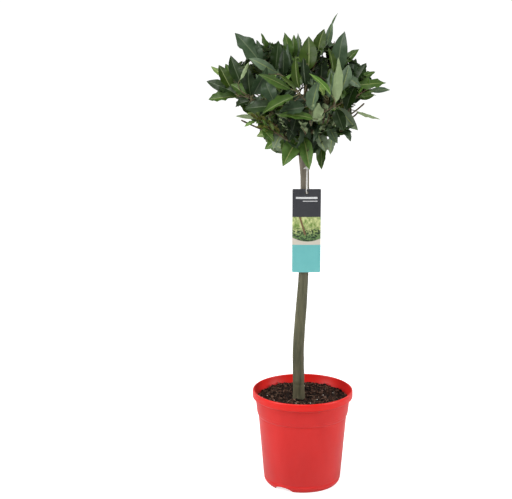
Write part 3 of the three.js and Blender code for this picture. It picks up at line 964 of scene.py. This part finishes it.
# More shoots fill the ring of wide masses where two neighbours meet.
RING = ("front_left", "left", "back_left", "back_right", "right", "front_right")
for name, neighbour in zip(RING, RING[1:]):
    for _ in range(4):
        end = (hearts[name] + hearts[neighbour]) / 2
        end += Vector([rng.uniform(-0.028, 0.028) for _ in range(3)])
        foot = bough_paths[name][rng.randrange(9, 18)]
        shoots.append((bend_path(foot, foot.lerp(end, 0.5) + UP * 0.008, end, 10), name))

SHORTEST_LEAF = 0.048


def grow_leaf(rng, node, way, top, length, tint, tier):
    """A leaf on its stalk from a node on a shoot, shortened to stay inside the head's outline.
    Gives back whether there was room for it."""
    way = way.normalized()
    for _ in range(6):
        end = node + way * (STALK + length)
        off = end - CROWN_MIDDLE
        slack = -7 * MM if abs(end.y) < 0.08 else 8 * MM  # tighter where the outline shows from the front
        spare = crown_reach(off.normalized()) + slack - off.length
        if spare >= 0:
            break
        if length + spare > SHORTEST_LEAF:
            length += spare
        else:
            way = (way * 0.8 + (CROWN_MIDDLE + UP * 0.03 - node).normalized() * 0.25).normalized()
            length *= 0.94
    for _ in range(5):
        foot = node + way * STALK
        if not in_the_way(foot, foot + way * length):
            break
        way = (way + Vector((rng.uniform(-0.4, 0.4), 0.5, rng.uniform(-0.4, 0.4)))).normalized()
        length *= 0.94
    else:
        return False
    if abs(way.dot(top.normalized())) > 0.97:
        top = top + Vector((0.3, -0.3, 0.2))
    stamp(stalks, stalk_mesh, facing(node, way, top, STALK))
    stamp(leaf_meshes[tier], rng.choice(leaf_shapes), facing(foot, way, top, length), leaf_slots(tint))
    return True


rng = random.Random(5)
# The low tier takes the brightened mid and grey greens most often: painted light on the leaves under the
# head.
TINT_WEIGHTS = {  # how often a spray of each tier takes each tint, in the tints' order
    "low": (20, 7, 18, 4, 6, 16, 5, 14, 10, 2),
    "middle": (24, 16, 18, 8, 4, 10, 12, 6, 3, 1),
    "top": (22, 14, 20, 12, 7, 12, 10, 4, 2, 0),
}
RISE = {"low": -0.22, "middle": 0.10, "top": 0.42}  # how far each tier's leaves turn up
SPRAY_SHARE = 0.65  # of a shoot's leaves in its own tint; the others take any but the young one
for path, name in shoots:
    spray = rng.choices(range(len(LEAF_TINTS)), weights=TINT_WEIGHTS[tier_of(name)])[0]
    first = rng.uniform(0, math.tau)
    count = rng.choice((7, 8, 8, 9))
    rise = RISE[tier_of(name)]
    furthest = 0
    for i in range(count):
        t = 0.25 + 0.75 * (i + 1) / count
        at = t * 10
        k = min(int(at), 9)
        node = path[k].lerp(path[k + 1], at - k)
        axis = (path[k + 1] - path[max(k - 1, 0)]).normalized()
        across = axis.orthogonal().normalized()
        around = Quaternion(axis, first + i * math.radians(140)) @ across
        lean = math.radians(66 - 44 * (i / (count - 1)) ** 1.3 + rng.uniform(-12, 12))
        way = axis * math.cos(lean) + around * math.sin(lean)
        way += (node - CROWN_MIDDLE).normalized() * 0.30 + UP * rise
        way += Vector([rng.uniform(-0.18, 0.18) for _ in range(3)])
        inner = axis * math.sin(lean) - around * math.cos(lean)
        outwards = (node - CROWN_MIDDLE).normalized()
        top = inner * 0.5 + UP * 0.6 + outwards * 0.6 + Vector([rng.uniform(-0.4, 0.4) for _ in range(3)])
        length = rng.uniform(0.056, 0.086) * (1 - 0.25 * (i / (count - 1)) ** 3)
        tint = spray if rng.random() < SPRAY_SHARE else rng.randrange(YOUNG)
        if not grow_leaf(rng, node, way, top, length, tint, tier_of(name)):
            continue
        furthest = k + 1
        bud = Matrix.Translation(node + around * 0.0016 + axis * 0.002)
        bmesh.ops.create_icosphere(
            buds, subdivisions=1, radius=1, matrix=bud @ Matrix.Diagonal((0.0011, 0.0011, 0.0022, 1))
        )
    if furthest > 7:
        add(twigs, limb(path[:8], tapered(2.0, 1.3, 7), 7))
        add(young, limb(path[7 : furthest + 1], tapered(1.3, 0.8, furthest - 7), 6))
    elif furthest:
        add(twigs, limb(path[: furthest + 1], tapered(2.0, 1.2, furthest), 7))

for tier, mesh in leaf_meshes.items():
    piece = place(f"leaves_{tier}", mesh, leaf_finishes, sharp=math.radians(60))
    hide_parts(*[f"foliage_{n}" for n in LEAVES_STEM_AT if tier_of(n) == tier])

twig_bark = mottled("twig_bark", (0.050, 0.036, 0.018), (0.14, 0.11, 0.045), 0.6, 120, relief=0.0003)
young_red = mottled("young_red", (0.060, 0.020, 0.010), (0.115, 0.070, 0.026), 0.5, 90)
stalk_green = mottled("stalk_green", (0.055, 0.060, 0.014), (0.115, 0.105, 0.030), 0.5, 90)
for name, mesh, finish in (
    ("twigs", twigs, twig_bark),
    ("young_shoots", young, young_red),
    ("leaf_stalks", stalks, stalk_green),
    ("buds", buds, stalk_green),
):
    piece = place(name, mesh, [finish], sharp=math.pi)

# ---- The label ----
# A printed card with rounded corners and a punched hole, slightly bowed from being hung. A charcoal
# head with two plain pale rules, a picture of foliage, and a plain teal foot.

LABEL_WIDTH, LABEL_HEIGHT, LABEL_TOP = 58 * MM, 174 * MM, 632 * MM
LABEL_MIDDLE, LABEL_FRONT, LABEL_THICK = 5 * MM, -14 * MM, 0.6 * MM
LABEL_BOW, HOLE_DROP, HOLE_RADIUS = 0.9 * MM, 8 * MM, 3.2 * MM

bm = bmesh.new()
bmesh.ops.create_grid(bm, x_segments=1, y_segments=1, size=0.5)
for v in bm.verts:
    v.co.x *= LABEL_WIDTH
    v.co.y *= LABEL_HEIGHT
bmesh.ops.bevel(
    bm, geom=bm.verts[:], offset=2.2 * MM, segments=5, profile=0.5, affect="VERTICES", material=-1
)
HEAD_FOOT, PICTURE_FOOT = 0.5 - 1 / 3, 0.5 - 2 / 3  # where the bands end, as shares of the height
RULES = [((-22, 22), (70.5, 66.5)), ((-8, 22), (62.5, 61))]  # printed: across, then top and foot
cuts_up = [HEAD_FOOT * LABEL_HEIGHT, PICTURE_FOOT * LABEL_HEIGHT]
cuts_up += [edge * MM for _, edges in RULES for edge in edges]
cuts_up += [(y + 0.4) * LABEL_HEIGHT / 21 for y in range(-10, 10)]
cuts_across = [x * LABEL_WIDTH / 12 for x in range(-5, 6)]
cuts_across += [edge * MM for edges, _ in RULES for edge in edges]
for cuts, normal in ((cuts_up, Vector((0, 1, 0))), (cuts_across, Vector((1, 0, 0)))):
    for cut in cuts:
        bmesh.ops.bisect_plane(
            bm, geom=bm.verts[:] + bm.edges[:] + bm.faces[:], plane_co=normal * cut, plane_no=normal
        )
for face in bm.faces:
    middle = face.calc_center_median()
    height = middle.y / LABEL_HEIGHT
    face.material_index = 0 if height > HEAD_FOOT else 1 if height > PICTURE_FOOT else 2
    for (left, right), (upper, lower) in RULES:
        if left * MM < middle.x < right * MM and lower * MM < middle.y < upper * MM:
            face.material_index = 3
bmesh.ops.solidify(bm, geom=bm.faces[:], thickness=LABEL_THICK)
centre = (LABEL_MIDDLE, LABEL_FRONT + LABEL_THICK / 2, LABEL_TOP - LABEL_HEIGHT / 2)
stand = Matrix.Translation(centre) @ Matrix.Rotation(math.radians(90), 4, "X")
for v in bm.verts:
    v.co.z -= LABEL_BOW * (2 * v.co.x / LABEL_WIDTH) ** 2
bmesh.ops.transform(bm, matrix=stand, verts=bm.verts)
bmesh.ops.recalc_face_normals(bm, faces=bm.faces)
charcoal, teal, pale_ink, card_back = (
    mottled(f"label_{name}", dark, light, roughness, per_metre)
    for name, dark, light, roughness, per_metre in (
        ("charcoal", (0.030, 0.031, 0.038), (0.040, 0.041, 0.049), 0.32, 40),
        ("teal", (0.130, 0.455, 0.455), (0.150, 0.485, 0.480), 0.32, 40),
        ("pale_ink", (0.66, 0.67, 0.68), (0.72, 0.73, 0.74), 0.32, 40),
        ("card_back", (0.70, 0.70, 0.68), (0.77, 0.77, 0.75), 0.6, 300),
    )
)
# The picture is of no plant in particular: light foliage above, dark leaves and a stem below, and
# the pale edge of a dish.
picture = mottled(
    "label_picture",
    dark=(0.15, 0.26, 0.045),
    light=(0.62, 0.66, 0.30),
    roughness=0.32,
    per_metre=(170, 170, 120),
    detail=5,
    softness=0.13,
)
tree = picture.node_tree
x, _, z = axes_of(tree)
leafage = mottle_in(tree, (0.010, 0.028, 0.012), (0.13, 0.24, 0.075), (210, 210, 330), 2, 0.07)
uneven = maths(tree, "ADD", z, maths(tree, "MULTIPLY", leafage["Height"], 0.012))
paint_over(picture, edged(tree, uneven, 0.556, 0.546), leafage["Colour"])
lean = maths(tree, "MULTIPLY", maths(tree, "SUBTRACT", z, 0.545), 0.30)
off_stem = maths(tree, "ABSOLUTE", maths(tree, "ADD", x, lean), 0)
above_foot = edged(tree, z, 0.534, 0.538)
on_stem = maths(tree, "MULTIPLY", edged(tree, off_stem, 0.0024, 0.0016), above_foot)
paint_over(picture, on_stem, (0.17, 0.095, 0.045, 1))
bow = maths(tree, "POWER", maths(tree, "SUBTRACT", x, 0.007), 2.0)
dish = maths(tree, "SUBTRACT", z, maths(tree, "MULTIPLY", bow, 9.0))
paint_over(picture, edged(tree, dish, 0.5235, 0.5220), (0.60, 0.55, 0.47, 1))
for face in bm.faces:
    if face.normal.y > 0.5:
        face.material_index = 4
finishes = [charcoal, picture, teal, pale_ink, card_back]
label = place("hang_label", bm, finishes, sharp=math.radians(40))
punch = bmesh.new()
through = Matrix.Rotation(math.radians(90), 4, "X")
hole = Vector((LABEL_MIDDLE, LABEL_FRONT, LABEL_TOP - HOLE_DROP))
pin(punch, HOLE_RADIUS, 6 * MM, Matrix.Translation(hole) @ through)
cut_away(label, punch)
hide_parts("label")

# ---- The label's string ----
# White cotton twine, passed through the label's hole and knotted under the head. Its two ends stick
# out of the knot, and the doubled strand goes on up between the leaves.

KNOT_HEIGHT = 676 * MM
twine = bmesh.new()
knot = Vector((LABEL_MIDDLE, LABEL_FRONT, KNOT_HEIGHT))
in_front = [(-0.3, -2.6, 1.6), (-0.8, -2.8, 8), (-0.7, -2.4, 30)]
behind = [(0.3, 3.2, 1.6), (0.8, 3.0, 8), (0.7, 0.4, 30)]
line = [knot + Vector((-2.5, -1, 12)) * MM, knot + Vector((-0.2, -2.6, 0)) * MM]
line += [hole + Vector(off) * MM for off in [*reversed(in_front), (0, 0.3, -1.2), *behind]]
line += [knot + Vector((0.2, -2.6, 0)) * MM, knot + Vector((0.5, -1, 12)) * MM]
path = smooth_path(line, 8)
add(twine, limb(path, [0.8 * MM] * len(path), 10))
KNOT_POINTS, KNOT_TURNS = 40, 2.5
knot_path = []
for i in range(KNOT_POINTS):
    share = i / (KNOT_POINTS - 1)
    turn = share * math.tau * KNOT_TURNS
    off = Vector((2.6 * math.cos(turn), 2.0 * math.sin(turn) - 2.6, (share - 0.5) * 3.2))
    knot_path.append(knot + off * MM)
add(twine, limb(knot_path, [0.9 * MM] * KNOT_POINTS, 10))
for side in (-1, 1):
    start = knot + Vector((0, -2.8, 0)) * MM
    end = start + Vector((side * 6.5, -1.0, -2.0)) * MM
    path = bend_path(start, start + Vector((side * 4, -1.5, 1.5)) * MM, end, 6)
    add(twine, limb(path, [0.8 * MM] * 7, 10))
cotton = mottled(
    "white_cotton",
    dark=(0.62, 0.61, 0.58),
    light=(0.85, 0.84, 0.82),
    roughness=0.85,
    per_metre=(900, 900, 350),
    detail=2,
    relief=0.0004,
)
string = place("label_twine", twine, [cotton], sharp=math.pi)
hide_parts("label_string")

# ---- The studio ----
# A plain white floor and white surroundings, with large soft lamps on both sides and in front.

bm = bmesh.new()
bmesh.ops.create_grid(bm, x_segments=1, y_segments=1, size=20)
floor_mesh = bpy.data.meshes.new("floor")
bm.to_mesh(floor_mesh)
bm.free()
floor = bpy.data.objects.new("floor", floor_mesh)
bpy.context.collection.objects.link(floor)
FLOOR_GLOW = 0.75  # what the camera sees of it besides the light that it reflects
floor_white, tree, shader = new_finish("floor_white", roughness=0.9, specular=0.1)
shader.inputs["Base Color"].default_value = (0.72, 0.72, 0.72, 1)
shader.inputs["Emission Color"].default_value = (1, 1, 1, 1)
seen_by_camera = add_node(tree, "LightPath").outputs["Is Camera Ray"]
glow = maths(tree, "MULTIPLY", seen_by_camera, FLOOR_GLOW)
tree.links.new(glow, shader.inputs["Emission Strength"])
floor_mesh.materials.append(floor_white)

ROOM_LIGHT = 0.42  # what the surroundings light the plant with; the camera sees them as white
world = bpy.data.worlds.new("white_room")
world.use_nodes = True
tree = world.node_tree
room = tree.nodes["Background"]
room.inputs["Color"].default_value = (1, 1, 1, 1)
seen_by_camera = add_node(tree, "LightPath").outputs["Is Camera Ray"]
tree.links.new(edged(tree, seen_by_camera, 0, 1, least=ROOM_LIGHT), room.inputs["Strength"])
bpy.context.scene.world = world


def soft_lamp(name, spot, aim, width, height, watts):
    """A large area lamp at a spot, turned to an aim."""
    light = bpy.data.lights.new(name, "AREA")
    light.shape = "RECTANGLE"
    light.size, light.size_y = width, height
    light.energy = watts
    lamp = bpy.data.objects.new(name, light)
    lamp.location = spot
    lamp.rotation_euler = (Vector(aim) - Vector(spot)).to_track_quat("-Z", "Y").to_euler()
    bpy.context.collection.objects.link(lamp)


soft_lamp("lamp_left", (-2.3, -1.1, 1.6), (0, 0, 0.5), 1.0, 2.0, 49)
soft_lamp("lamp_right", (2.4, -0.9, 1.4), (0, 0, 0.5), 0.9, 2.0, 41)
soft_lamp("lamp_over", (-0.4, -0.9, 2.9), (0, 0, 0.5), 1.2, 1.0, 38)
soft_lamp("lamp_back_left", (-2.0, 2.2, 1.9), (0, 0, 0.55), 1.2, 1.8, 17)
soft_lamp("lamp_back_right", (2.2, 2.0, 1.7), (0, 0, 0.55), 1.2, 1.8, 15)

camera = bpy.data.cameras.new("camera")
camera.sensor_width = 36
camera.lens = 105.4
camera_spot = bpy.data.objects.new("camera", camera)
camera_spot.location = (-0.0979, -3.0, 1.2)
camera_spot.rotation_euler = (math.radians(90 - 13.08), 0, 0)
bpy.context.collection.objects.link(camera_spot)
bpy.context.scene.camera = camera_spot
bpy.context.scene.view_settings.view_transform = "Standard"
